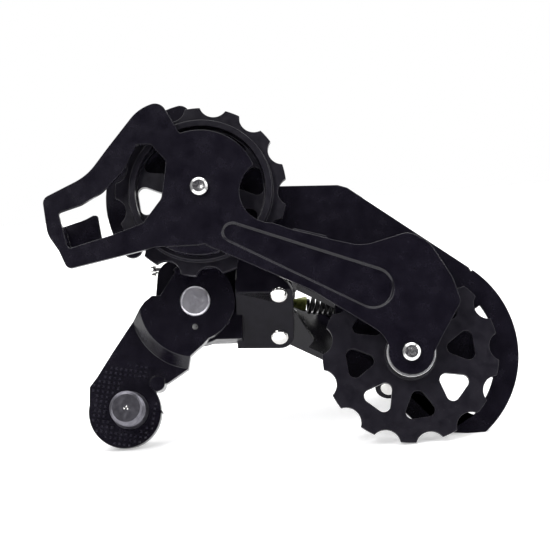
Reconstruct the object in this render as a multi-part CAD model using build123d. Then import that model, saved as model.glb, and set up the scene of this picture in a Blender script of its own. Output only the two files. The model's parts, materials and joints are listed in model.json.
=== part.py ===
from build123d import *
import os
from math import acos, atan2, cos, degrees, hypot, radians, sin

os.makedirs("parts", exist_ok=True)

# Rear bicycle derailleur, at rest with no chain.
# +Y points away from the wheel, +Z up. The origin is on the hanger bolt's axis,
# where the bracket link's knurled face lies against the frame's hanger.

# ---- fits ----
running = 0.05              # radial clearance of a shaft that turns in a bore
side_gap = 0.2              # clearance beside a turning part
stop_gap = 0.15             # clearance left where a stop rests

# ---- bracket link, hanger bolt and upper axle ----
link_thick = 4.0
hanger_end_r = 10.7         # round end
hanger_end_at = (-1.4, -0.5)  # its centre, a little off the hanger bolt's axis
axle_end_r = 11.7           # round end about the upper axle
axle_at = (19.4, 31.7)      # upper axle from the hanger bolt
joggle = 4.0                # the upper end steps this far towards the wheel
joggle_r = (16.5, 19.7)     # radii about the axle between which it steps
bolt_thread_r = 5.0
bolt_thread_length = 8.0
bolt_shoulder_r = 5.6
bolt_head_r = 8.2
bolt_head_thick = 4.0
bolt_key = 5.0              # width of the hexagon socket
axle_rivet_r = 4.45
axle_r = 5.5
axle_head_r = 7.2
axle_head_thick = 1.6
peg_at = (8.3, 7.6)         # the peg that turns the link with the hanger
peg_r = 2.3
peg_reach = 2.6

# ---- upper knuckle ----
barrel_wall = 2.1
barrel_end_y = 12.0
lobe_from_axle = (-6.4, 7.8)  # the lobe that carries the angle screw
lobe_r = 5.4
lobe_root_r = 12.3
lobe_end_y = 7.2
screw_r = 1.6               # limit screws
screw_head_r = 2.6
screw_head_thick = 2.2
angle_screw_at = (3.9, 10.6)  # Y, and height above the axle
angle_screw_r = 1.25
angle_screw_head_r = 2.0
angle_screw_head_thick = 1.6
angle_screw_start = -14.1   # its head's end, along X from the axle
upper_spring_gap = 2.1      # from the axle to the middle of the coil's wire
upper_spring_wire = 0.85
upper_spring_turns = 3.5

# ---- parallelogram, drawn in its own slanted frame ----
pin_slant = 42.0            # tilt of the link pins from +Y towards +Z
pin_spacing = 15.0
link_length = 38.0
rest_swing = 30.0           # the links' angle at rest
swing_travel = 63.0
pin_r = 2.5
pin_end = 0.8               # how far a pin stands out of its lugs
lug_inside = 10.0           # half the clear width between the lugs
lug_thick = 2.5
lug_wall = 1.7
sleeve_wall = 1.5
link_plate = 2.2
frame_from_axle = (24.6, 5.06, 10.0)

# ---- cage ----
plate_thick = 1.5
plate_gap = 11.0
outer_face_y = -7.0         # outboard face of the outer plate
pivot_from_pin = (1.1, 8.4)  # cage pivot from the middle of the lower link pin
guide_from_pivot = (3.8, -21.6)
pulley_spacing = 76.9
cage_lean = 141.4           # direction from the guide pulley to the tension pulley
cage_pivot_r = 4.5
lower_barrel_wall = 1.4
lower_barrel_end_y = 8.0
lower_spring_gap = 2.0
lower_spring_wire = 0.75
lower_spring_turns = 4.5

# ---- pulleys ----
teeth = 13
tooth_tip_r = 25.0
tooth_root_r = 22.4
tooth_gap_r = 4.3
tooth_thick = 2.3
pulley_hub_r = 7.3
hub_side_gap = 0.5
bush_r = 3.6
pulley_bolt_r = 2.5
pulley_bolt_head_r = 4.0
pulley_bolt_head = 2.5
pulley_bolt_key = 3.0
cap_r = 6.9
cap_thick = 0.8
pulley_windows = 8
guide_first_tooth = -92.0
guide_first_window = -36.0
tension_first_tooth = 96.3
tension_first_window = 190.0

# ---- worked-out sizes and places ----
sleeve_r = pin_r + sleeve_wall
lug_r = pin_r + lug_wall
pin_half_length = lug_inside + lug_thick + pin_end
pulley_hub_width = plate_gap - 2 * (cap_thick + hub_side_gap)
spring_room = 0.35          # round a coil in its housing
upper_spring_r = axle_r + upper_spring_gap
upper_pocket_r = upper_spring_r + upper_spring_wire + spring_room
barrel_r = upper_pocket_r + barrel_wall
lower_spring_r = cage_pivot_r + lower_spring_gap
lower_pocket_r = lower_spring_r + lower_spring_wire + spring_room
lower_barrel_r = lower_pocket_r + lower_barrel_wall
inner_face_y = outer_face_y - plate_thick - plate_gap
near_face_y = inner_face_y - plate_thick
chain_y = outer_face_y - plate_thick - plate_gap / 2
slant = Plane(
    (axle_at[0] + frame_from_axle[0], frame_from_axle[1], axle_at[1] + frame_from_axle[2]),
    x_dir=(1, 0, 0),
    z_dir=(0, cos(radians(pin_slant)), sin(radians(pin_slant))),
)


def at(centre, radius, angle):
    return (centre[0] + radius * cos(radians(angle)), centre[1] + radius * sin(radians(angle)))


def off(centre, *steps):
    return [(centre[0] + dx, centre[1] + dz) for dx, dz in steps]


upper_in = (0.0, 0.0)
upper_out = (0.0, pin_spacing)
lower_in = at(upper_in, link_length, rest_swing)
lower_out = at(upper_out, link_length, rest_swing)
lower_pin_middle = slant.from_local_coords((lower_in[0], lower_in[1], 0))
pivot_at = (lower_pin_middle.X + pivot_from_pin[0], lower_pin_middle.Z + pivot_from_pin[1])
guide_at = (pivot_at[0] + guide_from_pivot[0], pivot_at[1] + guide_from_pivot[1])
tension_at = at(guide_at, pulley_spacing, cage_lean)


def beside(share, aside):
    # a place part of the way from the tension pulley to the guide pulley, and off that line
    run = cage_lean + 180
    return at(at(tension_at, share * pulley_spacing, run), aside, run + 90)


# ---- building blocks ----
def slab(shape, y_low, y_high):
    # an X-Z outline given thickness between two Y planes
    side = Plane((0, y_high, 0), x_dir=(1, 0, 0), z_dir=(0, -1, 0))
    return extrude(side * shape, amount=y_high - y_low)


def disc(centre, radius):
    return Pos(centre[0], centre[1]) * Circle(radius)


def hexagon(centre, across):
    return Pos(centre[0], centre[1]) * RegularPolygon(across / 2 / cos(radians(30)), 6)


def turns_left(points):
    pairs = zip(points, points[1:] + points[:1])
    return sum(a[0] * b[1] - b[0] * a[1] for a, b in pairs) > 0


def polygon(*points):
    # drawn anticlockwise, so that every outline faces the same way
    points = list(points)
    if not turns_left(points):
        points.reverse()
    return Polygon(*points, align=None)


def rod(centre, radius, y_low, y_high):
    return slab(disc(centre, radius), y_low, y_high)


def tube(centre, outer, inner, y_low, y_high):
    return slab(disc(centre, outer) - disc(centre, inner), y_low, y_high)


def cone(centre, r_low, r_high, y_low, y_high):
    base = Plane((centre[0], y_high, centre[1]), x_dir=(1, 0, 0), z_dir=(0, -1, 0))
    shape = Cone(r_high, r_low, y_high - y_low, align=(Align.CENTER, Align.CENTER, Align.MIN))
    return base * shape


def belt(c1, r1, c2, r2):
    # the outline of a belt round two discs
    run = degrees(atan2(c2[1] - c1[1], c2[0] - c1[0]))
    lean = degrees(acos((r1 - r2) / hypot(c2[0] - c1[0], c2[1] - c1[1])))
    corners = [at(c1, r1, run + lean), at(c2, r2, run + lean)]
    corners += [at(c2, r2, run - lean), at(c1, r1, run - lean)]
    return polygon(*corners) + disc(c1, r1) + disc(c2, r2)


def rounded(points, radii):
    radii = list(radii) if isinstance(radii, list) else [radii] * len(points)
    if not turns_left(points):
        points = points[::-1]
        radii.reverse()
    return make_face(FilletPolyline(*points, radius=radii, close=True))


def sector(centre, inner, outer, start, stop):
    # a ring's slice between two angles
    steps = 6
    fan = [at(centre, 2 * outer, start + (stop - start) * i / steps) for i in range(steps + 1)]
    return (disc(centre, outer) - disc(centre, inner)) & polygon(centre, *fan)


def slant_slab(shape, low, high):
    # an outline in the parallelogram's plane given thickness along its pins
    return extrude(slant.offset(low) * shape, amount=high - low)


def cross_rod(y_in_plane, height, radius, x_low, x_high):
    # a round bar along +X, placed in the parallelogram's frame
    base = slant.from_local_coords((x_low, y_in_plane, height))
    return extrude(Plane(base, x_dir=(0, 1, 0), z_dir=(1, 0, 0)) * Circle(radius), amount=x_high - x_low)


def coil(start, along, mean_r, wire_r, length, turns):
    path = Helix(pitch=length / turns, height=length, radius=mean_r, center=start, direction=along)
    section = Plane(path @ 0, z_dir=path % 0) * Circle(wire_r)
    return sweep(section, path=path, is_frenet=True)


def save(shape, name):
    shape.label = name
    export_step(shape, f"parts/{name}.step")


# ---- bracket link and its fixings ----
# the bent flange that the angle screw bears on, drawn from the axle
flange_x = (-5.4, -2.9)
flange_z = (11.3, 15.6)
flange_end_y = 4.5


def bracket_link():
    left = [(-11.9, -1.0), (-12.0, 6.8), (-9.8, 9.8), (-5.5, 16.9), (-0.3, 25.0)]
    foot = polygon(*left, (8.0, 24.0), (10.0, 10.0), (6.1, 4.7), (9.9, -0.8), (0.0, -2.0))
    steps = [(-19.7, -6.7), (-15.1, -0.2), (-12.9, 1.7), (-10.5, 1.7), (-9.0, 4.0), (-6.1, 8.7), (0.9, 8.7)]
    steps += [(5.0, -10.0), (2.4, -12.8), (-1.2, -16.1), (-2.2, -19.6), (-8.5, -24.0), (-15.0, -20.0)]
    outline = foot + polygon(*off(axle_at, *steps)) + disc(hanger_end_at, hanger_end_r)
    outline += disc(axle_at, axle_end_r)
    notch = off(axle_at, (-13.2, 1.7), (-10.5, 1.7), (-6.1, 8.7), (-8.0, 12.0), (-16.0, 9.0))
    outline -= polygon(*notch)
    r_low, r_high = joggle_r
    upper = slab(outline, -joggle, 0) & cone(axle_at, r_low, r_high, -joggle, 0)
    lower = slab(outline, 0, link_thick) - cone(axle_at, r_low, r_high, 0, link_thick)
    body = upper + lower
    x_low, x_high = flange_x
    z_low, z_high = flange_z
    ear = off(axle_at, (x_low, 8.0), (x_low, z_high - 1), (x_high, z_high), (1.5, z_high), (5.0, 8.0))
    body += slab(polygon(*ear), -joggle, 0)
    flange = off(axle_at, (x_low, z_low), (x_low, z_high - 1), (x_high, z_high), (x_high, z_low))
    body += slab(polygon(*flange), -1, flange_end_y)
    body += rod(peg_at, peg_r, -peg_reach, link_thick)
    body -= rod((0, 0), bolt_shoulder_r + running, -1, link_thick + 1)
    body -= rod(axle_at, axle_rivet_r, -joggle - 1, 1)
    # the hole for the spring's tail
    return body - rod((axle_at[0], axle_at[1] - upper_spring_r), upper_spring_wire, -joggle - 1, 1)


def hanger_bolt():
    body = rod((0, 0), bolt_thread_r, -bolt_thread_length, 0)
    body = chamfer(body.faces().sort_by(Axis.Y)[0].edges(), 0.7)
    head_y = link_thick + side_gap
    top = head_y + bolt_head_thick
    body += rod((0, 0), bolt_shoulder_r, 0, head_y)
    head = rod((0, 0), bolt_head_r, head_y, top)
    body += chamfer(head.faces().sort_by(Axis.Y)[-1].edges(), 0.6)
    return body - slab(hexagon((0, 0), bolt_key), top - 3.2, top + 1)


def upper_axle():
    body = rod(axle_at, axle_rivet_r, -joggle - 1.0, 0)
    body = chamfer(body.faces().sort_by(Axis.Y)[0].edges(), 0.5)
    head_y = barrel_end_y + side_gap
    body += rod(axle_at, axle_r, 0, head_y)
    head = rod(axle_at, axle_head_r, head_y, head_y + axle_head_thick)
    return body + chamfer(head.faces().sort_by(Axis.Y)[-1].edges(), 0.5)


save(bracket_link(), "bracket_link")
save(hanger_bolt(), "hanger_bolt")
save(upper_axle(), "upper_axle")

# ---- upper knuckle ----
knuckle_face_y = side_gap + 0.1
knuckle_low_y = -5.6                        # nothing of the knuckle reaches the cage's outer plate
web_x = (-12.8, -8.0)
screw_out = 6.5                             # how far the limit screws stand outside the link pins
screw_height = 3.0
low_screw_at = (-screw_out, screw_height)   # where each limit screw runs in the slanted frame
high_screw_at = (pin_spacing + screw_out, screw_height)
screw_boss_r = 3.6
tail_half = 1.5                             # half the width of the tails that the screws stop
tail_lean = 7.0
tail_slope = sin(radians(tail_lean)) / cos(radians(tail_lean))
limit_tip_x = -(screw_out + screw_r) * tail_slope - tail_half / cos(radians(tail_lean)) - stop_gap
cable_at = (2.0, 17.0)                      # the cable's line in the slanted frame
cable_boss_r = 4.4
adjuster_r = 2.6
grip_r = 4.6
grip_reach = 14.0                           # from the boss to the adjuster's outer end
grip_flutes = 12
housing_r = 2.55                            # socket for the cable housing's end
cable_hole_r = 0.9
boss_x = web_x[0] - 1                       # where the bosses end
lug_end = lug_inside + lug_thick


def web_plate(x_low, x_high, y_low, y_high, low, high):
    outline = polygon((x_low, y_low), (x_high, y_low), (x_high, y_high), (x_low, y_high))
    return slant_slab(outline, low, high)


def upper_knuckle():
    body = rod(axle_at, barrel_r, knuckle_face_y, barrel_end_y)
    lobe = belt(off(axle_at, lobe_from_axle)[0], lobe_r, axle_at, lobe_root_r)
    body += slab(lobe, knuckle_face_y, lobe_end_y)
    neck = off(axle_at, (0, -barrel_r), (13.6, -10.6), (13.6, 10.5), (0, barrel_r))
    body += slab(polygon(*neck), knuckle_face_y, barrel_end_y)
    body += web_plate(*web_x, -lug_r, pin_spacing + lug_r, -lug_end, lug_end)
    # the shield in front of the links' upper ends
    shield = polygon((31.6, 34.0), (31.6, 46.0), (38.0, 46.0), (45.5, 41.0), (45.5, 34.0))
    body += slab(shield, knuckle_low_y, knuckle_low_y + 1.8)
    lug = belt(upper_in, lug_r, upper_out, lug_r)
    top = pin_spacing + lug_r
    lug += polygon((web_x[0], -lug_r), (0, -lug_r), (0, top), (web_x[0], top))
    for low in (-lug_end, lug_inside):
        body += slant_slab(lug, low, low + lug_thick)
    for y_place, height in (low_screw_at, high_screw_at):
        body += cross_rod(y_place, height, screw_boss_r, boss_x, web_x[1] + 2)
    y_place, height = cable_at
    body += cross_rod(y_place, height, cable_boss_r, boss_x, web_x[1] + 1)
    body += web_plate(*web_x, y_place - cable_boss_r, y_place + cable_boss_r, lug_end - 0.5, height)
    body -= Pos(axle_at[0], knuckle_low_y - 10, axle_at[1]) * Box(200, 20, 200)
    # bores
    body -= rod(axle_at, axle_r + running, -1, barrel_end_y + 1)
    body -= rod(axle_at, upper_pocket_r, -1, barrel_end_y - 4)
    for pin in (upper_in, upper_out):
        body -= slant_slab(disc(pin, pin_r), -lug_end - 2, lug_end + 2)
    for y_place, height in (low_screw_at, high_screw_at):
        body -= cross_rod(y_place, height, screw_r, -20, 5)
    body -= cross_rod(*cable_at, adjuster_r + running, -20, 5)
    start = (axle_at[0] - 16, angle_screw_at[0], axle_at[1] + angle_screw_at[1])
    screw_line = Plane(start, x_dir=(0, 1, 0), z_dir=(1, 0, 0))
    body -= extrude(screw_line * Circle(angle_screw_r), amount=12)
    # the angle screw's tip and the link's flange have a pocket of their own
    x_low = flange_x[0] - 0.6
    pocket = off(axle_at, (x_low, 9.6), (x_low, 17.0), (4.0, 17.0), (4.0, 11.2), (-1.0, 11.2))
    return body - (slab(polygon(*pocket), 0, lobe_end_y + 0.3) - rod(axle_at, barrel_r, 0, 8))


def slotted_screw(base, head_r, head_thick, shank_r, length):
    # a slotted screw whose head starts at the base plane and whose shank follows its normal
    head = extrude(base * Circle(head_r), amount=head_thick)
    head = chamfer(head.faces().sort_by(Axis(base.origin, base.z_dir))[0].edges(), head_r * 0.15)
    slot = extrude(base * Rectangle(head_r * 3, head_r * 0.35), amount=head_thick * 0.5)
    return head - slot + extrude(base.offset(head_thick) * Circle(shank_r), amount=length)


def limit_screw(place):
    start_x = web_x[0] - 3.5
    base = Plane(slant.from_local_coords((start_x, *place)), x_dir=(0, 1, 0), z_dir=(1, 0, 0))
    length = limit_tip_x - start_x - screw_head_thick
    return slotted_screw(base, screw_head_r, screw_head_thick, screw_r, length)


def angle_screw():
    start = (axle_at[0] + angle_screw_start, angle_screw_at[0], axle_at[1] + angle_screw_at[1])
    base = Plane(start, x_dir=(0, 1, 0), z_dir=(1, 0, 0))
    length = flange_x[0] - stop_gap - angle_screw_start - angle_screw_head_thick
    return slotted_screw(base, angle_screw_head_r, angle_screw_head_thick, angle_screw_r, length)


def link_pin(place):
    body = slant_slab(disc(place, pin_r), -pin_half_length, pin_half_length)
    ends = body.faces().filter_by(GeomType.PLANE)
    return chamfer(ends.edges(), 0.45)


def upper_spring():
    start_y = knuckle_face_y + upper_spring_wire
    wire_r = upper_spring_wire * 0.94           # loose in the link's hole
    start = (axle_at[0], start_y, axle_at[1])
    length = barrel_end_y - 6 - start_y
    body = coil(start, (0, 1, 0), upper_spring_r, wire_r, length, upper_spring_turns)
    tail = (axle_at[0], axle_at[1] - upper_spring_r)
    return body + rod(tail, wire_r, -joggle + 0.1, start_y)


def adjuster_barrel():
    # turns in the knuckle to fine-tune the cable
    y_place, height = cable_at
    body = cross_rod(y_place, height, adjuster_r, boss_x - 6, web_x[1] + 0.5)
    grip = cross_rod(y_place, height, grip_r, boss_x - grip_reach, boss_x - 4)
    for i in range(grip_flutes):
        y_flute, z_flute = at(cable_at, grip_r + 0.4, i * 360 / grip_flutes)
        grip -= cross_rod(y_flute, z_flute, 0.8, boss_x - grip_reach + 1, boss_x - 3)
    body += grip
    body -= cross_rod(y_place, height, housing_r, boss_x - grip_reach - 1, boss_x - grip_reach + 7)
    return body - cross_rod(y_place, height, cable_hole_r, boss_x - grip_reach - 1, 5)


def adjuster_spring():
    start = slant.from_local_coords((boss_x - 3.6, *cable_at))
    return coil(start, (1, 0, 0), adjuster_r + 0.7, 0.3, 3.1, 3)


save(upper_knuckle(), "upper_knuckle")
save(upper_spring(), "upper_pivot_spring")
save(angle_screw(), "angle_adjusting_screw")
save(limit_screw(low_screw_at), "low_limit_screw")
save(limit_screw(high_screw_at), "high_limit_screw")
save(link_pin(upper_in), "upper_inner_link_pin")
save(link_pin(upper_out), "upper_outer_link_pin")
save(adjuster_barrel(), "cable_adjuster")
save(adjuster_spring(), "cable_adjuster_spring")

# ---- links and return spring ----
ear_low = -lug_inside + side_gap
ear_thick = 1.8
inner_link_low = ear_low + ear_thick + side_gap
link_high = lug_inside - side_gap
sleeve_gap = running + 0.03
spring_wire_r = 0.58
spring_coil_r = 2.4
hook_height = 6.8                           # the spring's line in the slanted frame
hook_low = 4.6                              # above this the sleeves are open for the spring's eyes
tail_band = (1.0, 5.0)
tail_reach = 8.6
clamp_bolt_r = 2.5
clamp_face = cable_at[1] - 2.5              # the face that the cable is clamped against
clamp_wing_r = 4.2
washer_r = 4.6
washer_thick = 1.2
outer_link_out = 1.6                        # the outer link's plate runs outside its pins


def along_link(start, distance, outward):
    # a place beside the line of a link that starts at a pin
    return at(at(start, distance, rest_swing), outward, rest_swing + 90)


clamp_at = along_link(upper_out, 19.5, -4.2)


def plate_between(start, end, low, high):
    return slant_slab(belt(start, link_plate / 2, end, link_plate / 2), low, high)


def link_body(start, low, outward):
    end = along_link(start, link_length, 0)
    body = plate_between(along_link(start, 0, outward), along_link(end, 0, outward), low, link_high)
    for pin in (start, end):
        body += slant_slab(disc(pin, sleeve_r), low, link_high)
    return body


def tail(pin, angle):
    # the arm of a link that a limit screw stops
    return slant_slab(belt(pin, tail_half, at(pin, tail_reach, angle), tail_half), *tail_band)


def bore_link(body, start, end, hook_pin):
    for pin in (start, end):
        body -= slant_slab(disc(pin, pin_r + sleeve_gap), -lug_end - 2, lug_end + 2)
    return body - slant_slab(disc(hook_pin, sleeve_r + 0.4), hook_low, link_high + 1)


def inner_link():
    body = link_body(upper_in, inner_link_low, 0)
    body += tail(upper_in, -90 - tail_lean + swing_travel)
    # open where the spring crosses, and along its lower edge
    half = 4.4
    window = belt(along_link(upper_in, 16, 0), half, along_link(upper_in, 40, 0), half)
    spring_low = hook_height - spring_coil_r - spring_wire_r - 0.4
    body -= slant_slab(window - disc(lower_in, sleeve_r), spring_low, link_high + 1)
    low_edge = belt(along_link(upper_in, 9.6, 0), half, along_link(upper_in, 28.4, 0), half)
    body -= slant_slab(low_edge, inner_link_low - 1, -3.6)
    return bore_link(body, upper_in, lower_in, lower_in)


def outer_link():
    body = link_body(upper_out, ear_low, outer_link_out)
    body += tail(upper_out, 90 + tail_lean)
    ear = rounded([(-2.4, 13.0), (-1.5, 8.4), (4.6, 7.4), (10.2, 18.2), (8.0, 21.5), (0.0, 17.0)],
                  [1.0, 1.2, 1.6, 1.0, 0.6, 0.6])
    body += slant_slab(ear, ear_low, ear_low + ear_thick)
    # the arm and flange that carry the cable clamp
    a = along_link(upper_out, 14, outer_link_out)
    b = along_link(upper_out, 25, outer_link_out)
    body += plate_between(a, b, link_high - 1, clamp_face)
    flange = belt(a, link_plate / 2, clamp_at, clamp_wing_r) + belt(b, link_plate / 2, clamp_at, clamp_wing_r)
    body += slant_slab(flange, clamp_face - 2, clamp_face)
    body -= slant_slab(disc(clamp_at, clamp_bolt_r), clamp_face - 4, clamp_face + 1)
    return bore_link(body, upper_out, lower_out, upper_out)


def clamp_bolt():
    top = clamp_face + washer_thick
    body = slant_slab(disc(clamp_at, clamp_bolt_r), clamp_face - 4, top)
    head = slant_slab(hexagon(clamp_at, 8.0), top, top + 3.4)
    return body + head - slant_slab(hexagon(clamp_at, 4.0), top + 1.4, top + 4)


def clamp_washer():
    ring = disc(clamp_at, washer_r) - disc(clamp_at, clamp_bolt_r)
    body = slant_slab(ring, clamp_face, clamp_face + washer_thick)
    # the groove that the cable lies in
    start = along_link(clamp_at, -8, -3.3)
    run = slant.x_dir * cos(radians(rest_swing)) + slant.y_dir * sin(radians(rest_swing))
    line = Plane(slant.from_local_coords((*start, clamp_face)), z_dir=run)
    return body - extrude(line * Circle(0.6), amount=16)


def return_spring():
    run = atan2(lower_in[1] - upper_out[1], lower_in[0] - upper_out[0])
    reach = hypot(lower_in[0] - upper_out[0], lower_in[1] - upper_out[1])
    along = slant.x_dir * cos(run) + slant.y_dir * sin(run)
    eye_r = pin_r + spring_wire_r + 0.12
    coil_start = 8.3
    coil_length = 17.5

    def point(distance):
        x, y = at(upper_out, distance, degrees(run))
        return slant.from_local_coords((x, y, hook_height))

    body = coil(point(coil_start), along, spring_coil_r, spring_wire_r * 0.95, coil_length, 10)
    for start, stop in ((eye_r, coil_start + 0.1), (coil_start + coil_length - 0.1, reach - eye_r)):
        wire = Plane(point(start), z_dir=along)
        body += extrude(wire * Circle(spring_wire_r), amount=stop - start)
    for place in (coil_start, coil_start + coil_length):
        cross = Plane(point(place - spring_wire_r), z_dir=along)
        body += extrude(cross * Circle(spring_coil_r + spring_wire_r), amount=2 * spring_wire_r)
    for pin in (upper_out, lower_in):
        ring = Plane(slant.from_local_coords((*pin, hook_height)), z_dir=slant.z_dir)
        body += ring * Torus(eye_r, spring_wire_r)
    return body


save(inner_link(), "inner_link")
save(outer_link(), "outer_link")
save(clamp_bolt(), "cable_clamp_bolt")
save(clamp_washer(), "cable_clamp_washer")
save(return_spring(), "return_spring")

# ---- lower knuckle ----
lower_web_x = (lower_in[0] + 7.1, lower_in[0] + 11.1)
knuckle_near_y = outer_face_y + side_gap
stop_pin_r = 2.0
stop_pin_reach = 12.0
stop_pin_angle = 200.0
stop_ear_half = 1.7
stop_y = -3.2
lower_spring_end = 2.0


def stop_ear():
    turn = degrees((stop_pin_r + stop_ear_half + stop_gap) / stop_pin_reach)
    angle = stop_pin_angle + turn
    tip = at(pivot_at, stop_pin_reach + 0.5, angle)
    return slab(belt(at(pivot_at, lower_barrel_r - 2, angle), stop_ear_half, tip, stop_ear_half),
                knuckle_near_y, stop_y)


def lower_knuckle():
    body = rod(pivot_at, lower_barrel_r, knuckle_near_y, lower_barrel_end_y)
    body += stop_ear()
    low_x, high_x = lower_web_x
    top = lower_in[1] - 13.0
    bottom = lower_out[1] + lug_r
    body += web_plate(low_x, high_x, top, bottom, -lug_end, lug_end)
    lug = belt(lower_in, lug_r, lower_out, lug_r)
    lug += polygon((lower_in[0], lower_in[1] - lug_r), (high_x, lower_in[1] - lug_r),
                   (high_x, bottom), (lower_out[0], bottom))
    body += slant_slab(lug, lug_inside, lug_end)
    near = lug + polygon((lower_in[0] - lug_r, top), (high_x, top), (high_x, bottom - 5),
                         (lower_in[0] - lug_r, lower_in[1]))
    body += slant_slab(near, -lug_end, -lug_inside)
    body -= rod(pivot_at, cage_pivot_r + running, knuckle_near_y - 1, lower_barrel_end_y + 1)
    body -= rod(pivot_at, lower_barrel_r + 2, lower_barrel_end_y, lower_barrel_end_y + 3)
    body -= rod(pivot_at, lower_pocket_r, knuckle_near_y - 1, lower_spring_end + 0.6)
    for pin in (lower_in, lower_out):
        body -= slant_slab(disc(pin, pin_r), -lug_end - 2, lug_end + 2)
    return body


def lower_spring():
    start_y = knuckle_near_y + lower_spring_wire + 0.2
    return coil((pivot_at[0], start_y, pivot_at[1]), (0, 1, 0), lower_spring_r,
                lower_spring_wire, lower_spring_end - lower_spring_wire - start_y, lower_spring_turns)


save(lower_knuckle(), "lower_knuckle")
save(lower_spring(), "cage_pivot_spring")
save(link_pin(lower_in), "lower_inner_link_pin")
save(link_pin(lower_out), "lower_outer_link_pin")

# ---- cage ----
emboss_depth = 0.7
clip_thick = 0.8
clip_y = lower_barrel_end_y + stop_gap
groove_r = cage_pivot_r - 0.8
clip_r = cage_pivot_r + 1.1


def inner_plate():
    t, g = tension_at, guide_at
    # loop round the tension pulley's far side
    loop = rounded(
        off(t, (-6.2, 16.4), (-11.6, 25.6), (-18.0, 23.2), (-26.5, 11.8), (-32.5, 3.4), (-45.2, -3.2),
            (-43.4, -13.8), (-40.0, -18.5), (-37.4, -23.9), (-12.0, -17.6), (2.0, -17.0), (8.0, 4.0)),
        [0.4, 3.4, 12.0, 16.0, 16.0, 2.4, 8.0, 2.0, 2.0, 3.0, 3.0, 3.0])
    # arm from the tension pulley down to the guide pulley
    arm = rounded(
        off(t, (2.0, -17.0), (0.0, 0.0), (13.0, 2.0), (17.5, -9.5))
        + [beside(0.379, 6.8), beside(0.514, 11.4), beside(0.618, 15.3)]
        + off(g, (-0.2, 34.4), (5.6, 31.2), (12.0, 21.0), (14.2, 14.2), (9.6, 6.0))
        + off(g, (4.0, -4.6), (-4.0, -4.6), (-7.5, 5.0)) + [beside(0.572, -3.6), beside(0.378, -7.5)],
        [0.5, 0.5, 2.0, 6.0, 8.0, 2.0, 12.0, 5.0, 8.0, 8.0, 3.0, 6.0, 3.0, 3.0, 10.0, 20.0, 20.0])
    shape = loop + arm + disc(t, 16.8) + disc(g, 6.4)
    shape -= disc((t[0] + 21.0, t[1] - 1.4), 9.4)
    hole = rounded(
        off(t, (-40.4, -7.4), (-34.0, -5.2), (-28.0, -1.6), (-21.6, 5.2), (-18.4, 12.6), (-14.0, 12.6),
            (-9.6, 7.6), (-10.8, -3.4), (-16.0, -10.6), (-24.8, -14.0), (-37.4, -18.0)),
        [0.8, 6.0, 6.0, 8.0, 0.8, 0.8, 2.0, 3.0, 3.0, 16.0, 1.0])
    shape -= hole
    body = slab(shape, near_face_y, inner_face_y)
    # pressed channel along the arm: sunk on the near side, proud on the far side
    ends = off(t, (9.6, -13.4)) + off(g, (-10.5, 18.3))
    trough = belt((ends[0][0], -ends[0][1]), 3.0, (ends[1][0], -ends[1][1]), 6.0)
    near = Plane((0, near_face_y, 0), x_dir=(1, 0, 0), z_dir=(0, 1, 0))
    body -= extrude(near * trough, amount=emboss_depth, taper=40)
    body += slab(belt(ends[0], 1.6, ends[1], 4.6), inner_face_y, inner_face_y + emboss_depth)
    # shallow dishes round the bolts
    body -= cone(t, 6.4, 3.2, near_face_y, near_face_y + 0.3)
    body -= cone(g, 5.2, 3.0, near_face_y, near_face_y + 0.3)
    # lips bent towards the other plate
    body += slab(sector(t, 18.4, 19.9, 241, 288), near_face_y + 0.2, inner_face_y + 1.5)
    body += slab(sector(t, 15.5, 19.9, 241, 288), near_face_y + 0.2, near_face_y + 1.5)
    lip = belt(beside(0.386, 6.8), plate_thick / 2, beside(0.49, 10.5), plate_thick / 2)
    body += slab(lip, near_face_y + 0.2, inner_face_y + 2.5)
    # bridge and catch tab at the open end of the loop
    top, foot = off(t, (-41.3, -9.7), (-39.2, -16.0))
    body += slab(belt(top, plate_thick / 2, foot, plate_thick / 2), near_face_y + 0.2, outer_face_y)
    catch = off(t, (-41.6, -9.2), (-34.6, -6.8), (-32.4, -5.6), (-31.0, -5.6), (-29.4, -13.6), (-38.8, -16.6))
    body += slab(rounded(catch, [0.7, 4.0, 0.8, 0.8, 1.0, 0.7]), outer_face_y - plate_thick, outer_face_y)
    for place in (t, g):
        body -= rod(place, pulley_bolt_r, near_face_y - 1, inner_face_y + 1)
    return body


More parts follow.
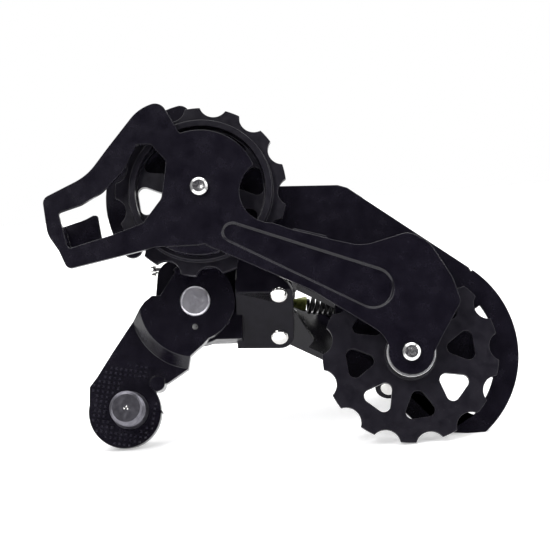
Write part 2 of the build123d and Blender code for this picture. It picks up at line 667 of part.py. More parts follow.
def outer_plate():
    t, g, p = tension_at, guide_at, pivot_at
    rim = (g[0] + 1.2, g[1] + 0.8)
    rim_r = 30.2
    # band and web round the tension pulley
    band_low, band_high = 22.6, 28.7
    start, stop = 106, 217
    shape = disc(t, 21.8) + sector(t, 21.6, band_high, start, stop) + sector(t, 8.0, band_high, start, 166)
    for angle in (start, stop):
        shape += disc(at(t, (band_low + band_high) / 2, angle), (band_high - band_low) / 2)
    body_points = off(t, (-6.0, 3.0), (4.0, 2.6)) + [beside(0.38, 27.2), beside(0.415, 28.3)]
    body_points += [at(rim, rim_r, 57.0)]
    body_points += off(g, (26.0, 10.0), (8.0, -2.0), (-5.0, -8.0), (-18.5, -5.5), (-20.5, 8.0), (-22.0, 19.0))
    body_points += [beside(0.468, -0.2)] + off(t, (8.0, -15.6), (-8.0, -8.0))
    radii = [0.5, 0.5, 2.0, 2.0, 0.3, 2.0, 2.0, 2.0, 2.5, 8.0, 8.0, 12.0, 6.0, 4.0]
    shape += rounded(body_points, radii) + disc(g, 9.3) + disc(p, 11.5)
    # band round the outer side of the guide pulley
    wedge = off(g, (0, 0), (22.0, 30.0), (36.0, 22.0), (36.0, -23.2), (4.0, -21.2), (-2.4, -15.0))
    wedge += off(g, (-2.6, -8.0))
    shape += disc(rim, rim_r) & polygon(*wedge)
    foot = off(g, (12.6, -17.4), (22.0, -16.0), (22.0, -26.0), (8.0, -26.0))
    shape -= sector(g, 9.3, 24.6, -64, -14) - rounded(foot, 0.8)
    shape -= sector(g, 19.4, 25.4, 17, 36)
    shape -= sector(t, 11.8, band_low, 170, 216)
    body = slab(shape, outer_face_y - plate_thick, outer_face_y)
    body -= rod(p, cage_pivot_r, outer_face_y - 4, outer_face_y + 1)
    body -= rod(at(p, stop_pin_reach, stop_pin_angle), stop_pin_r, outer_face_y - 4, outer_face_y + 1)
    for place in (t, g):
        body -= rod(place, pulley_bolt_r, outer_face_y - 4, outer_face_y + 1)
    return body


def cage_pivot_pin():
    inside = outer_face_y - plate_thick
    body = rod(pivot_at, cage_pivot_r + 1.7, inside - 0.8, inside)
    body = chamfer(body.faces().sort_by(Axis.Y)[0].edges(), 0.3)
    body += rod(pivot_at, cage_pivot_r, inside, clip_y + clip_thick + 0.6)
    return body - tube(pivot_at, cage_pivot_r + 1, groove_r, clip_y, clip_y + clip_thick)


def cage_pivot_clip():
    shape = disc(pivot_at, clip_r) - disc(pivot_at, groove_r)
    shape -= sector(pivot_at, groove_r / 2, clip_r + 1, 150, 210)
    return slab(shape, clip_y, clip_y + clip_thick)


def stop_pin():
    place = at(pivot_at, stop_pin_reach, stop_pin_angle)
    body = rod(place, stop_pin_r, outer_face_y - plate_thick, stop_y)
    return chamfer(body.faces().sort_by(Axis.Y)[-1].edges(), 0.3)


def pulley_bolt(place):
    body = rod(place, pulley_bolt_r, near_face_y - 1.3, outer_face_y)
    body = chamfer(body.faces().sort_by(Axis.Y)[0].edges(), 0.4)
    head = rod(place, pulley_bolt_head_r, outer_face_y, outer_face_y + pulley_bolt_head)
    body += chamfer(head.faces().sort_by(Axis.Y)[-1].edges(), 0.4)
    body -= rod(place, 1.3, near_face_y - 2, near_face_y - 0.9)
    socket = hexagon(place, pulley_bolt_key)
    return body - slab(socket, outer_face_y + 0.8, outer_face_y + pulley_bolt_head + 1)


def pulley_bush(place):
    outer_inside = outer_face_y - plate_thick
    return tube(place, bush_r, pulley_bolt_r, inner_face_y + cap_thick, outer_inside - cap_thick)


def dust_caps(place):
    outer_inside = outer_face_y - plate_thick
    near = tube(place, cap_r, pulley_bolt_r, inner_face_y, inner_face_y + cap_thick)
    far = tube(place, cap_r, pulley_bolt_r, outer_inside - cap_thick, outer_inside)
    return Compound([near, far])


save(inner_plate(), "inner_cage_plate")
save(outer_plate(), "outer_cage_plate")
save(cage_pivot_pin(), "cage_pivot_pin")
save(cage_pivot_clip(), "cage_pivot_clip")
save(stop_pin(), "cage_stop_pin")
for name, place in (("guide", guide_at), ("tension", tension_at)):
    save(pulley_bolt(place), f"{name}_pulley_bolt")
    save(pulley_bush(place), f"{name}_pulley_bush")
    save(dust_caps(place), f"{name}_pulley_dust_caps")


# ---- pulleys ----
window_foot_r = 8.6
window_rim_r = 19.0
window_half = 17.0          # degrees
ridge_radii = (18.5, 21.3)
ridge_reach = 3.3           # from the chain's plane to the ridge's face
ridge_draft = 0.5


def pulley(place, first_tooth, first_window):
    shape = disc(place, tooth_tip_r)
    for i in range(teeth):
        angle = first_tooth + (i + 0.5) * 360 / teeth
        shape -= disc(at(place, tooth_root_r + tooth_gap_r, angle), tooth_gap_r)
    for i in range(pulley_windows):
        angle = first_window + i * 360 / pulley_windows
        rim_ends = [at(place, window_rim_r, angle + side * window_half) for side in (-1, 1)]
        shape -= rounded([at(place, window_foot_r, angle)] + rim_ends, 1.9)
    body = slab(shape, chain_y - tooth_thick / 2, chain_y + tooth_thick / 2)
    body += rod(place, pulley_hub_r, chain_y - pulley_hub_width / 2, chain_y + pulley_hub_width / 2)
    return body - rod(place, bush_r + running, inner_face_y, outer_face_y)


def tension_pulley():
    # a drafted ring stands out of both faces
    body = pulley(tension_at, tension_first_tooth, tension_first_window)
    inner, outer = ridge_radii
    for y_low, y_high, low, high in (
        (chain_y - ridge_reach, chain_y, ridge_draft, 0),
        (chain_y, chain_y + ridge_reach, 0, ridge_draft),
    ):
        ridge = cone(tension_at, outer - low, outer - high, y_low, y_high)
        body += ridge - cone(tension_at, inner + low, inner + high, y_low, y_high)
    return body


save(pulley(guide_at, guide_first_tooth, guide_first_window), "guide_pulley")
save(tension_pulley(), "tension_pulley")
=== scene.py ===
import json
from math import atan2, cos, radians, sin, tau

import bmesh
import bpy
from mathutils import Matrix, Vector


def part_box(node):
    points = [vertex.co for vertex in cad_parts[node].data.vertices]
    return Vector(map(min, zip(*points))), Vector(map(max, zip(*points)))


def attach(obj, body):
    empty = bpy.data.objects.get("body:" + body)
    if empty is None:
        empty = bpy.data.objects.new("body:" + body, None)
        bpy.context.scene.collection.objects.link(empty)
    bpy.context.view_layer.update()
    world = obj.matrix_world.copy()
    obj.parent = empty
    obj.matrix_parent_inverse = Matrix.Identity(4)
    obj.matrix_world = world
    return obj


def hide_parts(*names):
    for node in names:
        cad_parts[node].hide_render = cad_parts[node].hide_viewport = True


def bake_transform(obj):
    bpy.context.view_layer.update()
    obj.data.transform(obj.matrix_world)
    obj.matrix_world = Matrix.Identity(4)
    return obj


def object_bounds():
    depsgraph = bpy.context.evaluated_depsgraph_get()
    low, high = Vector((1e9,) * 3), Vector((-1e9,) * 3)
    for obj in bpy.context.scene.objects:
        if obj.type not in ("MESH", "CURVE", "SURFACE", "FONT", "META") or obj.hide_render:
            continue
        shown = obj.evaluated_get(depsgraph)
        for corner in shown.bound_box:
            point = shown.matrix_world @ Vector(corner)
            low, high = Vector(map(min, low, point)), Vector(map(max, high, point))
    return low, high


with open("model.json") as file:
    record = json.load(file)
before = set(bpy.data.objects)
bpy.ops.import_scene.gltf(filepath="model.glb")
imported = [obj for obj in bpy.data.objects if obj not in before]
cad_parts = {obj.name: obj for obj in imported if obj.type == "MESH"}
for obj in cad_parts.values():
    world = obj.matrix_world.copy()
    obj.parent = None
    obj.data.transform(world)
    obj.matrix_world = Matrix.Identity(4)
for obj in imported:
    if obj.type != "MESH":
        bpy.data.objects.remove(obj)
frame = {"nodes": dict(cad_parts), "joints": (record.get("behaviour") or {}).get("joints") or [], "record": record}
cadLow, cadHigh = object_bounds()
mm = 0.001
across = Vector((0, 1, 0))  # the line of the bolts and the pulleys
print("frame loaded")

joints = {joint["name"]: joint for joint in frame["joints"]}


def jointPlace(name):
    return Vector(joints[name]["pos_m"])


def middle(node):
    low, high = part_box(node)
    return (low + high) / 2


pinLine = -Vector(joints["inner_link_swing"]["axis"])  # the slanted line of the link pins
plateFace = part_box("outer_cage_plate")[1].y / mm  # outboard face of the outer plate, in millimetres
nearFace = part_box("inner_cage_plate")[0].y / mm  # inboard face of the inner plate, in millimetres


# nodes of a material
def newMaterial(name, **sockets):
    material = bpy.data.materials.new(name)
    material.use_nodes = True
    shader = material.node_tree.nodes["Principled BSDF"]
    for socket, value in sockets.items():
        shader.inputs[socket.replace("_", " ")].default_value = value
    return material, shader


def add(material, kind, **settings):
    node = material.node_tree.nodes.new(kind)
    for name, value in settings.items():
        if name in node.inputs:
            node.inputs[name].default_value = value
        else:
            setattr(node, name, value)
    return node


def join(material, start, end):
    material.node_tree.links.new(start, end)


def coordinates(material, centre=(0, 0, 0)):
    source = add(material, "ShaderNodeTexCoord")
    mapping = add(material, "ShaderNodeMapping", vector_type="TEXTURE")
    mapping.inputs["Location"].default_value = centre
    join(material, source.outputs["Object"], mapping.inputs["Vector"])
    return mapping.outputs["Vector"]


def noise(material, where, scale, detail):
    node = add(material, "ShaderNodeTexNoise", Scale=scale, Detail=detail, Roughness=0.55)
    join(material, where, node.inputs["Vector"])
    return node.outputs["Fac"]


def rings(material, where, scale):
    node = add(material, "ShaderNodeTexWave", wave_type="RINGS", rings_direction="Y", Scale=scale,
               Distortion=0.6, Detail=2.0)
    join(material, where, node.inputs["Vector"])
    return node.outputs["Fac"]


def ramp(material, source, *stops):
    node = add(material, "ShaderNodeValToRGB")
    elements = node.color_ramp.elements
    while len(elements) < len(stops):
        elements.new(0.5)
    for element, (place, colour) in zip(elements, stops):
        element.position = place
        element.color = (*colour, 1) if isinstance(colour, tuple) else (colour, colour, colour, 1)
    join(material, source, node.inputs["Fac"])
    return node.outputs["Color"]


def bumps(material, shader, *layers):
    # each layer is a height, how strong it is and how deep
    last = None
    for height, strength, depth in layers:
        node = add(material, "ShaderNodeBump", Strength=strength, Distance=depth)
        join(material, height, node.inputs["Height"])
        if last:
            join(material, last, node.inputs["Normal"])
        last = node.outputs["Normal"]
    join(material, last, shader.inputs["Normal"])


def mixed(material, mask, dark, light):
    node = add(material, "ShaderNodeMix", data_type="RGBA")
    join(material, mask, node.inputs[0])
    for socket, colour in ((node.inputs[6], dark), (node.inputs[7], light)):
        if isinstance(colour, tuple):
            socket.default_value = (*colour, 1)
        else:
            join(material, colour, socket)
    return node.outputs[2]


def wornAndHighlightedEdges(material, where, colour, look):
    # specks along the sharp edges where the finish has rubbed thin; the lighter edge colour is also a painted
    # highlight along the edges
    geometry = add(material, "ShaderNodeNewGeometry")
    edge = ramp(material, geometry.outputs["Pointiness"], (look["edge"][0], 0.0), (look["edge"][1], 1.0))
    speck = ramp(material, noise(material, where, look["speck"], look["speckDetail"]),
                 (look["speckShare"][0], 0.0), (look["speckShare"][1], 1.0))
    wearAndHighlightMask = add(material, "ShaderNodeMath", operation="MULTIPLY")
    join(material, edge, wearAndHighlightMask.inputs[0])
    join(material, speck, wearAndHighlightMask.inputs[1])
    return mixed(material, wearAndHighlightMask.outputs[0], colour, look["wearAndHighlightColour"])


# the edge colour below is lighter than the paint: partly paint rubbed thin and partly a painted highlight along
# the edges
paintLook = {"dark": (0.0035, 0.0028, 0.0062), "light": (0.0075, 0.0062, 0.0120),
             "wearAndHighlightColour": (0.035, 0.034, 0.042), "gloss": (0.20, 0.31), "shine": 0.42,
             "dust": 260, "peel": 1400, "peelDepth": 0.00003,
             "edge": (0.53, 0.62), "speck": 3200, "speckDetail": 3, "speckShare": (0.60, 0.72)}
castLook = {**paintLook, "light": (0.0085, 0.0072, 0.0125), "gloss": (0.30, 0.44), "shine": 0.16,
            "peel": 900, "peelDepth": 0.00005}
# the knurl's teeth are painted lighter than the rest of the link: a painted highlight on the teeth
knurlHighlightLook = {**paintLook, "dark": (0.012, 0.0105, 0.018), "light": (0.028, 0.026, 0.036),
                  "gloss": (0.16, 0.24)}


def paintMaterial(name, look):
    material, shader = newMaterial(name, Metallic=0.0, Specular_IOR_Level=look["shine"])
    where = coordinates(material)
    cloud = noise(material, where, look["dust"], 5)
    colour = ramp(material, cloud, (0.3, look["dark"]), (0.75, look["light"]))
    # the lighter edges are rubbed paint and a painted edge highlight
    join(material, wornAndHighlightedEdges(material, where, colour, look), shader.inputs["Base Color"])
    low, high = look["gloss"]
    join(material, ramp(material, cloud, (0.25, low), (0.8, high)), shader.inputs["Roughness"])
    bumps(material, shader,
          (noise(material, where, look["peel"], 3), 0.35, look["peelDepth"]),
          (noise(material, where, look["peel"] * 5, 2), 0.2, look["peelDepth"] / 4))
    return material


# the resin's edge colour is lighter still: partly rubbed resin and partly a painted highlight along the edges
resinLook = {"dark": (0.0060, 0.0052, 0.0090), "light": (0.0130, 0.0115, 0.0175), "wearAndHighlightColour": (0.09, 0.09, 0.095),
             "gloss": (0.27, 0.42), "shine": 0.42, "cloud": 420, "grain": 5200, "flow": 700,
             "edge": (0.53, 0.60), "speck": 2600, "speckDetail": 4, "speckShare": (0.62, 0.75)}


def resinMaterial(look):
    material, shader = newMaterial("satinResin", Metallic=0.0, Specular_IOR_Level=look["shine"])
    where = coordinates(material)
    cloud = noise(material, where, look["cloud"], 5)
    colour = ramp(material, cloud, (0.3, look["dark"]), (0.8, look["light"]))
    # the lighter edges are rubbed resin and a painted edge highlight
    join(material, wornAndHighlightedEdges(material, where, colour, look), shader.inputs["Base Color"])
    low, high = look["gloss"]
    join(material, ramp(material, cloud, (0.2, low), (0.85, high)), shader.inputs["Roughness"])
    bumps(material, shader,
          (noise(material, where, look["grain"], 3), 0.35, 0.00002),
          (noise(material, where, look["flow"], 2), 0.25, 0.00004))
    return material


def metalMaterial(name, colour, dull, gloss, centre=None, lines=0):
    # bare metal; with a centre it carries the rings of a lathe tool
    material, shader = newMaterial(name, Metallic=1.0)
    where = coordinates(material, centre or (0, 0, 0))
    cloud = noise(material, where, 500, 4)
    join(material, ramp(material, cloud, (0.3, dull), (0.7, colour)), shader.inputs["Base Color"])
    join(material, ramp(material, noise(material, where, 1300, 3), (0.25, gloss[0]), (0.8, gloss[1])),
         shader.inputs["Roughness"])
    layers = [(noise(material, where, 3000, 3), 0.15, 0.00002)]
    if centre is not None:
        layers.append((rings(material, where, lines), 0.22, 0.00002))
    bumps(material, shader, *layers)
    return material


def springMaterial(name, colour, light, metallic):
    material, shader = newMaterial(name, Metallic=metallic)
    where = coordinates(material)
    cloud = noise(material, where, 900, 4)
    join(material, ramp(material, cloud, (0.3, colour), (0.75, light)), shader.inputs["Base Color"])
    join(material, ramp(material, cloud, (0.3, 0.26), (0.8, 0.42)), shader.inputs["Roughness"])
    bumps(material, shader, (noise(material, where, 4000, 3), 0.25, 0.00002))
    return material


blackPaint = paintMaterial("blackPaint", paintLook)
castPaint = paintMaterial("castPaint", castLook)
knurlHighlightPaint = paintMaterial("knurlHighlightPaint", knurlHighlightLook)
resin = resinMaterial(resinLook)
zinc = metalMaterial("brightZinc", (0.86, 0.86, 0.84), (0.66, 0.66, 0.66), (0.16, 0.34))
nickel = metalMaterial("nickelPlate", (0.93, 0.92, 0.89), (0.82, 0.81, 0.79), (0.10, 0.2))
axleFace = metalMaterial("turnedAxle", (0.80, 0.79, 0.84), (0.66, 0.65, 0.70), (0.28, 0.42),
                         tuple(jointPlace("upper_pivot")), 1600.0)
boltSteel = metalMaterial("turnedBolt", (0.20, 0.195, 0.22), (0.12, 0.117, 0.135), (0.30, 0.46),
                          tuple(jointPlace("hanger_bolt_turn")), 1500.0)
capSteel = metalMaterial("capSteel", (0.97, 0.97, 0.97), (0.9, 0.9, 0.9), (0.34, 0.46))
greySteel = metalMaterial("greySteel", (0.55, 0.55, 0.55), (0.4, 0.4, 0.41), (0.25, 0.42))
springBlack = springMaterial("oiledSpring", (0.012, 0.012, 0.013), (0.04, 0.04, 0.042), 0.6)
springSteel = springMaterial("brightSpring", (0.45, 0.45, 0.44), (0.62, 0.62, 0.6), 1.0)
hookYellow = springMaterial("passivatedHook", (0.13, 0.15, 0.03), (0.27, 0.29, 0.09), 0.35)
print("materials made")


# making and finishing a mesh
def finishPiece(bm, name, body, material, replaced=(), sharp=35, weighted=True):
    bmesh.ops.remove_doubles(bm, verts=bm.verts, dist=0.000002)
    mesh = bpy.data.meshes.new(name)
    bm.to_mesh(mesh)
    bm.free()
    mesh.materials.append(material)
    mesh.shade_smooth()
    mesh.set_sharp_from_angle(angle=radians(sharp))
    piece = bpy.data.objects.new(name, mesh)
    bpy.context.scene.collection.objects.link(piece)
    if weighted:
        modifier = piece.modifiers.new("normals", "WEIGHTED_NORMAL")
        modifier.keep_sharp = True
        modifier.weight = 80
    if body:
        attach(piece, body)
    if replaced:
        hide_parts(*replaced)
    return piece


def softenEdges(bm, width, segments=2):
    # bevels every edge that turns by more than 30 degrees
    edges = [edge for edge in bm.edges
             if len(edge.link_faces) == 2 and edge.calc_face_angle(0) > radians(30)]
    bmesh.ops.bevel(bm, geom=edges, offset=width, offset_type="OFFSET", segments=segments, profile=0.5,
                    affect="EDGES", clamp_overlap=False, material=-1)


def copyOf(node):
    # the CAD shape with its triangles joined into whole faces
    bm = bmesh.new()
    bm.from_mesh(frame["nodes"][node].data)
    bmesh.ops.remove_doubles(bm, verts=bm.verts, dist=0.000002)
    bmesh.ops.dissolve_limit(bm, angle_limit=radians(0.6), verts=bm.verts, edges=bm.edges)
    return bm


def turnTo(direction):
    return Vector((0, 0, 1)).rotation_difference(Vector(direction)).to_matrix().to_4x4()


def spun(profile, centre, direction, steps=48):
    # a closed round shape from (distance along, radius) pairs
    bm = bmesh.new()
    start = [bm.verts.new((radius, 0, along)) for along, radius in profile]
    edges = [bm.edges.new(pair) for pair in zip(start, start[1:])]
    bmesh.ops.spin(bm, geom=start + edges, cent=(0, 0, 0), axis=(0, 0, 1), angle=tau, steps=steps,
                   use_merge=True, use_duplicate=False)
    bmesh.ops.remove_doubles(bm, verts=bm.verts, dist=0.0000005)
    bmesh.ops.recalc_face_normals(bm, faces=bm.faces)
    bmesh.ops.transform(bm, matrix=Matrix.Translation(centre) @ turnTo(direction), verts=bm.verts)
    return bm


def wirePiece(name, points, radius):
    curve = bpy.data.curves.new(name, "CURVE")
    curve.dimensions = "3D"
    spline = curve.splines.new("POLY")
    spline.points.add(len(points) - 1)
    for point, place in zip(spline.points, points):
        point.co = (*place, 1)
    curve.bevel_depth = radius
    curve.bevel_resolution = 3
    curve.use_fill_caps = True
    holder = bpy.data.objects.new(name, curve)
    bpy.context.scene.collection.objects.link(holder)
    bpy.context.view_layer.update()
    mesh = bpy.data.meshes.new_from_object(holder.evaluated_get(bpy.context.evaluated_depsgraph_get()))
    bm = bmesh.new()
    bm.from_mesh(mesh)
    bpy.data.objects.remove(holder)
    return bm


# stamped, cast and turned parts: the CAD shape with its edges softened by a width in millimetres
bodyOf = {node: body for body, nodes in frame["record"]["behaviour"]["bodies"].items() for node in nodes}
finishes = {
    "inner_cage_plate": (0.16, 2, blackPaint), "outer_cage_plate": (0.16, 2, blackPaint),
    "inner_link": (0.18, 2, blackPaint), "outer_link": (0.18, 2, blackPaint),
    "upper_knuckle": (0.25, 2, castPaint), "lower_knuckle": (0.25, 2, castPaint),
    "guide_pulley": (0.14, 2, resin), "tension_pulley": (0.14, 2, resin),
    "upper_axle": (0.10, 2, axleFace), "cage_pivot_pin": (0.10, 2, greySteel),
    "cage_pivot_clip": (0.08, 1, greySteel), "cage_stop_pin": (0.08, 2, greySteel),
    "guide_pulley_bush": (0.08, 1, greySteel), "tension_pulley_bush": (0.08, 1, greySteel),
    "guide_pulley_dust_caps": (0.10, 2, capSteel), "tension_pulley_dust_caps": (0.10, 2, capSteel),
    "angle_adjusting_screw": (0.08, 2, nickel), "low_limit_screw": (0.08, 2, zinc),
    "high_limit_screw": (0.08, 2, zinc), "cable_clamp_bolt": (0.12, 2, zinc),
    "cable_clamp_washer": (0.08, 1, zinc), "cable_adjuster": (0.10, 1, resin),
}
for node, (width, segments, material) in finishes.items():
    shape = copyOf(node)
    softenEdges(shape, width * mm, segments)
    finishPiece(shape, node + "_finish", bodyOf[node], material, (node,))
print("stamped, cast and turned parts finished")

# the bracket link with its knurled face, in millimetres from the hanger bolt
knurlLook = {"pitch": 1.45, "size": 1.15, "height": 0.26, "clearRing": 6.6, "edge": 9.9, "turn": 8,
             "footMiddle": (-1.4, -0.5)}


def bracketLink():
    shape = copyOf("bracket_link")
    softenEdges(shape, 0.2 * mm)
    finishPiece(shape, "bracket_link_finish", "bracket", blackPaint,
                ("bracket_link",))


def isKnurled(x, z):
    # the teeth cover the foot's left side, the arm's root and patches below and beside the bolt
    look = knurlLook
    middleX, middleZ = look["footMiddle"]
    reach = Vector((x - middleX, z - middleZ)).length
    onFoot = reach < look["edge"] and z < 6.5
    onArm = 6.5 <= z < 13.0 and -10.4 + 0.55 * (z - 6.5) < x < 5.0
    leftEdge = 2.0 < z < 7.5 and -11.0 < x < -6.0
    clear = Vector((x, z)).length < look["clearRing"]
    smooth = (-2.6 < x < 2.6 and z < 9.5) or (x > 2.6 and 5.0 < z < 8.5) or (x > 5.0 and z > 3.4)
    return (onFoot or onArm or leftEdge) and not clear and not (smooth and z > 0)


def knurl():
    look = knurlLook
    bm = bmesh.new()
    turn = Matrix.Rotation(radians(look["turn"]), 4, "Y")
    standing = Matrix.Rotation(radians(90), 4, "X") @ Matrix.Rotation(radians(45), 4, "Z")
    for column in range(-10, 11):
        for row in range(-10, 11):
            place = turn @ Vector((column * look["pitch"], 0, row * look["pitch"]))
            if isKnurled(place.x, place.z):
                matrix = Matrix.Translation(place * mm) @ turn @ standing
                bmesh.ops.create_cone(bm, cap_ends=True, segments=4, radius1=look["size"] * 0.7 * mm,
                                      radius2=look["size"] * 0.22 * mm, depth=2 * look["height"] * mm,
                                      matrix=matrix)
    # the teeth take the lighter paint, a painted highlight
    finishPiece(bm, "bracket_link_knurl", "bracket", knurlHighlightPaint, sharp=20,
                weighted=False)


bracketLink()
knurl()
print("bracket link finished")

# the hanger bolt and the pulley bolts, with their threads, in millimetres
hangerLook = {"root": 4.55, "crest": 5.0, "pitch": 1.0, "shoulder": 5.6, "headFrom": 4.2, "headTo": 8.2,
              "headRadius": 8.2, "socket": 2.9, "socketFloor": 5.0, "key": 2.5,
              "dot": 0.28, "dotRing": (0.55, 0.4)}
pulleyBoltLook = {"root": 2.1, "crest": 2.5, "pitch": 0.8, "headRadius": 4.0, "headThick": 2.5,
                  "socket": 1.75, "socketFloor": 0.7, "key": 1.5}


def inMetres(points):
    return [(along * mm, radius * mm) for along, radius in points]


def ridges(start, end, look):
    # a screw thread's ridges along a shank, in millimetres, each with four corners
    root, crest, pitch = look["root"], look["crest"], look["pitch"]
    points = []
    place = start
    while place + pitch < end:
        points += [(place + pitch * 0.2, root), (place + pitch * 0.45, crest), (place + pitch * 0.6, crest),
                   (place + pitch * 0.85, root)]
        place += pitch
    return points


def hexRecess(bm, centre, flat, reach, depth):
    # squares a round recess off to a hexagon for a key
    for vert in bm.verts:
        away = vert.co - centre
        radius = Vector((away.x, away.z)).length
        if flat * mm < radius < reach * mm and vert.co.y > depth * mm:
            turn = atan2(away.z, away.x) % radians(60) - radians(30)
            share = flat * mm / cos(turn) / radius
            vert.co.x = centre.x + away.x * share
            vert.co.z = centre.z + away.z * share


def hangerBolt():
    look = hangerLook
    centre = jointPlace("hanger_bolt_turn")
    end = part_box("hanger_bolt")[0].y / mm
    root, shoulder = look["root"], look["shoulder"]
    headFrom, headTo, head = look["headFrom"], look["headTo"], look["headRadius"]
    socket, socketFloor = look["socket"], look["socketFloor"]
    tipChamfer = 0.5
    shank = [(end, 0), (end, root - tipChamfer), (end + tipChamfer, root)]
    shank += ridges(end + tipChamfer, -0.6, look) + [(-0.6, root), (0, root), (0, shoulder)]
    top = [(headFrom, shoulder), (headFrom, head - 0.2), (headFrom + 0.15, head), (headTo - 0.6, head),
           (headTo - 0.25, head - 0.15), (headTo, head - 0.6), (headTo, socket + 0.4),
           (headTo - 0.3, socket + 0.05), (socketFloor + 0.2, socket), (socketFloor, 0)]
    bm = spun(inMetres(shank + top), centre, across, 72)
    hexRecess(bm, centre, look["key"], socket + 0.2, socketFloor + 0.1)
    finishPiece(bm, "hanger_bolt_finish", "hanger_fixing", boltSteel, ("hanger_bolt",))
    # three punched dots on the bolt's end
    marks = bmesh.new()
    ringX, ringZ = look["dotRing"]
    for angle in (80, 200, 320):
        place = Vector((ringX * cos(radians(angle)), end - 0.01, ringZ * sin(radians(angle)))) * mm
        bmesh.ops.create_uvsphere(marks, u_segments=12, v_segments=8, radius=look["dot"] * mm,
                                  matrix=Matrix.Translation(centre + place) @ Matrix.Diagonal((1, 0.5, 1, 1)))
    finishPiece(marks, "hanger_bolt_marks", "hanger_fixing", nickel, weighted=False)


def pulleyBolt(name):
    look = pulleyBoltLook
    node = name + "_pulley_bolt"
    centre = middle(node)
    centre.y = 0
    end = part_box(node)[0].y / mm
    root, crest, head, socket = look["root"], look["crest"], look["headRadius"], look["socket"]
    points = [(end + 0.12, 0), (end + 0.12, 0.7), (end + 0.02, 0.95), (end, 1.8), (end + 0.2, 2.1)]
    place = end + 0.2
    while place < nearFace:
        points += [(place + 0.05, root), (place + 0.32, crest), (place + 0.44, crest), (place + 0.7, root)]
        place += look["pitch"]
    top = plateFace + look["headThick"]
    floorAt = plateFace + look["socketFloor"]
    points += [(nearFace + 1.0, root), (nearFace + 1.2, crest), (plateFace, crest), (plateFace, head - 0.2),
               (plateFace + 0.15, head), (top - 0.6, head), (top - 0.2, head - 0.15), (top, head - 0.6),
               (top, socket + 0.3), (top - 0.2, socket + 0.05), (floorAt + 0.1, socket), (floorAt, 0)]
    bm = spun(inMetres(points), centre, across)
    hexRecess(bm, centre, look["key"], socket + 0.15, floorAt + 0.05)
    finishPiece(bm, node + "_finish", "cage", zinc, (node,))


hangerBolt()
for name in ("guide", "tension"):
    pulleyBolt(name)
print("bolts finished")

# link pins with peened ends, in millimetres
pinLook = {"radius": 2.5, "headRadius": 2.62, "reach": 13.3, "lugFace": 12.52}


def linkPin(node):
    look = pinLook
    rise = look["reach"] - look["lugFace"]
    side = []
    for angle in range(0, 91, 15):  # the domed head, from its middle to its edge
        radius = look["headRadius"] * sin(radians(angle)) ** 0.8
        side.append((look["lugFace"] + rise * cos(radians(angle)), radius))
    body = [(look["lugFace"], look["radius"]), (-look["lugFace"], look["radius"])]
    points = side + body + [(-along, radius) for along, radius in reversed(side)]
    bm = spun(inMetres(points), middle(node), pinLine, 40)
    finishPiece(bm, node + "_finish", bodyOf[node], nickel, (node,), weighted=False)


for node in ("upper_inner_link_pin", "upper_outer_link_pin", "lower_inner_link_pin", "lower_outer_link_pin"):
    linkPin(node)
print("link pins finished")

# springs, in millimetres
springLook = {"wire": 0.56, "coil": 2.42, "eye": 3.2, "coilStart": 8.0, "coilLength": 18.0, "turns": 11.5,
              "hookHeight": 6.8, "stepsPerTurn": 22, "eyeSteps": 24, "eyeSweep": 310}
# the cover on the spring's upper hook: how far from the pin, and its radius
hookCoverShape = [(3.0, 0.62), (3.0, 0.95), (3.6, 1.15), (6.9, 2.25), (7.6, 2.3), (7.75, 2.1), (7.75, 0.62),
                  (3.0, 0.62)]


def returnSpring():
    # the spring runs across the parallelogram, from the upper outer pin to the lower inner pin
    look = springLook
    first = jointPlace("outer_link_swing") + pinLine * look["hookHeight"] * mm
    second = jointPlace("lower_knuckle_swing") + pinLine * look["hookHeight"] * mm
    along = (second - first).normalized()
    reach = (second - first).length / mm
    aside = along.cross(pinLine).normalized()

    def spot(origin, forward, sideways, upward):
        return origin + (along * forward + aside * sideways + pinLine * upward) * mm

    def eyePoints(origin, startAngle):
        # round the pin, from the spring's line and back to it
        angles = [radians(startAngle + step * look["eyeSweep"] / (look["eyeSteps"] - 1))
                  for step in range(look["eyeSteps"])]
        return [spot(origin, look["eye"] * cos(angle), look["eye"] * sin(angle), 0) for angle in angles]

    def stretchWithLinks(piece):
        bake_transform(piece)

    points = eyePoints(first, 25)
    points.append(spot(first, look["eye"] + 1.2, -0.35, 0))
    points.append(spot(first, look["coilStart"] - 1.6, 0, 0))
    points.append(spot(first, look["coilStart"] - 0.6, 0.3, 0.2))
    steps = int(look["turns"] * look["stepsPerTurn"])
    for step in range(steps + 1):
        share = step / steps
        angle = share * look["turns"] * tau
        grow = min(1.0, step / 8, (steps - step) / 8) * 0.75 + 0.25
        points.append(spot(first, look["coilStart"] + share * look["coilLength"],
                           look["coil"] * grow * cos(angle), look["coil"] * grow * sin(angle)))
    points.append(spot(first, look["coilStart"] + look["coilLength"] + 0.8, 0, 0))
    points.append(spot(first, reach - look["eye"] - 0.9, 0.35, 0))
    points += eyePoints(second, 205)
    bm = wirePiece("returnSpringWire", points, look["wire"] * mm)
    stretchWithLinks(finishPiece(bm, "return_spring_coil", None, springBlack,
                                 ("return_spring",), sharp=60, weighted=False))
    cover = spun(inMetres(hookCoverShape), first, along, 32)
    stretchWithLinks(finishPiece(cover, "return_spring_hook_cover", None,
                                 hookYellow))


returnSpring()
for node in ("upper_pivot_spring", "cage_pivot_spring", "cable_adjuster_spring"):
    data = frame["nodes"][node].data
    data.materials.clear()
    data.materials.append(springSteel)
    data.shade_smooth()
print("springs finished")

# floor, light and camera; the floor's lengths are in metres
floorLook = {"rise": 0.36, "size": 1.1, "white": 0.9, "glow": 0.42, "gap": 0.0002, "foot": (0.0113, 0.002)}


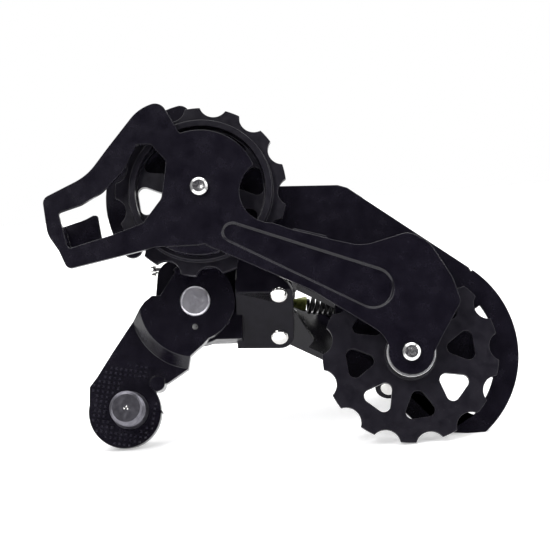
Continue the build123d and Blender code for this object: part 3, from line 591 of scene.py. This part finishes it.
def floorLine():
    # a plane that rests under the bracket link and the guide pulley, and rises behind them
    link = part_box("bracket_link")[0]
    wheelLow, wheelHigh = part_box("guide_pulley")
    footAcross, footDepth = floorLook["foot"]
    foot = Vector((link.x + footAcross, footDepth, link.z))
    wheelFoot = (wheelLow + wheelHigh) / 2
    wheelFoot.z = wheelLow.z
    rise = floorLook["rise"]
    tilt = ((wheelFoot.z - foot.z) - rise * (wheelFoot.y - foot.y)) / (wheelFoot.x - foot.x)
    return foot, Vector((-tilt, -rise, 1)).normalized()


def floorMaterial(look):
    # pale from above and clear from below
    material, shader = newMaterial("paleFloor", Roughness=0.9, Specular_IOR_Level=0.1)
    shader.inputs["Base Color"].default_value = (look["white"],) * 3 + (1,)
    shader.inputs["Emission Color"].default_value = (1, 1, 1, 1)
    shader.inputs["Emission Strength"].default_value = look["glow"]
    geometry = add(material, "ShaderNodeNewGeometry")
    clear = add(material, "ShaderNodeBsdfTransparent")
    choose = add(material, "ShaderNodeMixShader")
    join(material, geometry.outputs["Backfacing"], choose.inputs[0])
    join(material, shader.outputs[0], choose.inputs[1])
    join(material, clear.outputs[0], choose.inputs[2])
    join(material, choose.outputs[0], material.node_tree.nodes["Material Output"].inputs["Surface"])
    return material


def floor():
    look = floorLook
    foot, normal = floorLine()
    bm = bmesh.new()
    place = Matrix.Translation(foot - normal * look["gap"]) @ turnTo(normal)
    bmesh.ops.create_grid(bm, x_segments=4, y_segments=4, size=look["size"] / 2, matrix=place)
    mesh = bpy.data.meshes.new("floor")
    bm.to_mesh(mesh)
    bm.free()
    mesh.materials.append(floorMaterial(look))
    ground = bpy.data.objects.new("floor", mesh)
    bpy.context.scene.collection.objects.link(ground)


# each soft box: its place from the part's middle, its width and height in metres, and its power
lights = {
    "overhead": ((-0.1, -0.15, 0.9), (1.1, 0.9), 9.0),
    "leftFront": ((-0.55, -0.75, 0.5), (0.16, 0.6), 5.0),
    "rightFront": ((0.6, -0.6, 0.45), (0.10, 0.5), 2.0),
    "rightSide": ((0.8, -0.25, 0.3), (0.3, 0.8), 2.0),
    "back": ((0.0, 0.8, 0.5), (1.0, 0.5), 3.0),
}


def softBox(name, aim, offset, size, power):
    data = bpy.data.lights.new(name, "AREA")
    data.shape = "RECTANGLE"
    data.size, data.size_y = size
    data.energy = power
    light = bpy.data.objects.new(name, data)
    light.location = aim + Vector(offset)
    light.rotation_euler = (-Vector(offset)).to_track_quat("-Z", "Y").to_euler()
    bpy.context.scene.collection.objects.link(light)


worldLook = {"front": (0.07, 0.066, 0.08), "frontUpTo": 0.15, "backFrom": 0.75, "strength": 0.75}


def surroundings():
    # dark in front and white behind for the reflections, and plain white to look at
    look = worldLook
    world = bpy.data.worlds.new("studio")
    bpy.context.scene.world = world
    world.use_nodes = True
    tree = world.node_tree
    background = tree.nodes["Background"]
    coord = tree.nodes.new("ShaderNodeTexCoord")
    split = tree.nodes.new("ShaderNodeSeparateXYZ")
    shade = tree.nodes.new("ShaderNodeValToRGB")
    front, back = shade.color_ramp.elements
    front.position = look["frontUpTo"]
    front.color = (*look["front"], 1)
    back.position = look["backFrom"]
    back.color = (1, 1, 1, 1)
    spread = tree.nodes.new("ShaderNodeMapRange")
    spread.inputs["From Min"].default_value = -1
    path = tree.nodes.new("ShaderNodeLightPath")
    white = tree.nodes.new("ShaderNodeBackground")
    white.inputs["Color"].default_value = (1, 1, 1, 1)
    mix = tree.nodes.new("ShaderNodeMixShader")
    tree.links.new(coord.outputs["Generated"], split.inputs[0])
    tree.links.new(split.outputs["Y"], spread.inputs["Value"])
    tree.links.new(spread.outputs[0], shade.inputs[0])
    tree.links.new(shade.outputs[0], background.inputs["Color"])
    background.inputs["Strength"].default_value = look["strength"]
    tree.links.new(path.outputs["Is Camera Ray"], mix.inputs[0])
    tree.links.new(background.outputs[0], mix.inputs[1])
    tree.links.new(white.outputs[0], mix.inputs[2])
    tree.links.new(mix.outputs[0], tree.nodes["World Output"].inputs["Surface"])


cameraLook = {"place": (59.1, -439.5, -36.1), "forward": (-0.0366, 0.9847, 0.1706), "lens": 98.1818}


def placeCamera():
    data = bpy.data.cameras.new("camera")
    data.sensor_width = 36
    data.lens = cameraLook["lens"]
    data.clip_start = 0.01
    data.clip_end = 20
    camera = bpy.data.objects.new("camera", data)
    camera.location = Vector(cameraLook["place"]) * mm
    camera.rotation_euler = Vector(cameraLook["forward"]).to_track_quat("-Z", "Y").to_euler()
    bpy.context.scene.collection.objects.link(camera)
    bpy.context.scene.camera = camera


floor()
surroundings()
heart = (cadLow + cadHigh) / 2
for name, (offset, size, power) in lights.items():
    softBox(name, heart, offset, size, power)
placeCamera()
bpy.context.scene.view_settings.view_transform = "Standard"
print("stage, light and camera placed")
